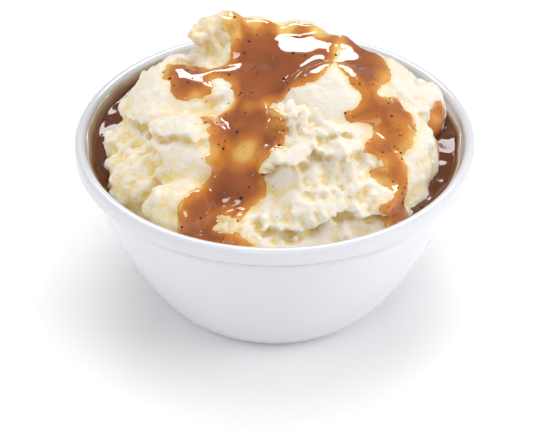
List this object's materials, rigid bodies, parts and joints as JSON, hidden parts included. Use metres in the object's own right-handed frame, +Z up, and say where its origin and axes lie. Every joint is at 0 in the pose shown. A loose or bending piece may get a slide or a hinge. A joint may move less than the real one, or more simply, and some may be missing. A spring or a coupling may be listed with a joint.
{
  "type": "mashed potato side in a bowl",
  "caption": "White round bowl heaped with mashed potato, with brown gravy over the top and pooled against the wall.",
  "frame": {"origin": "under the middle of the bowl, on the surface that the bowl stands on", "axes": "+Z up out of the bowl, -Y towards the front of the heap, +X to its right"},
  "size_m": [0.12, 0.12, 0.0889],
  "materials": {
    "white_glaze": "smooth white glaze",
    "mashed_potato": "moist, fluffy, cream coloured",
    "brown_gravy": "glossy, brown, peppered"
  },
  "bodies": {
    "root": {"bowl": "white_glaze", "mash": "mashed_potato", "gravy_top": "brown_gravy", "gravy_right": "brown_gravy", "gravy_back": "brown_gravy", "gravy_pool_left": "brown_gravy", "gravy_pool_right": "brown_gravy"}
  },
  "joints": []
}
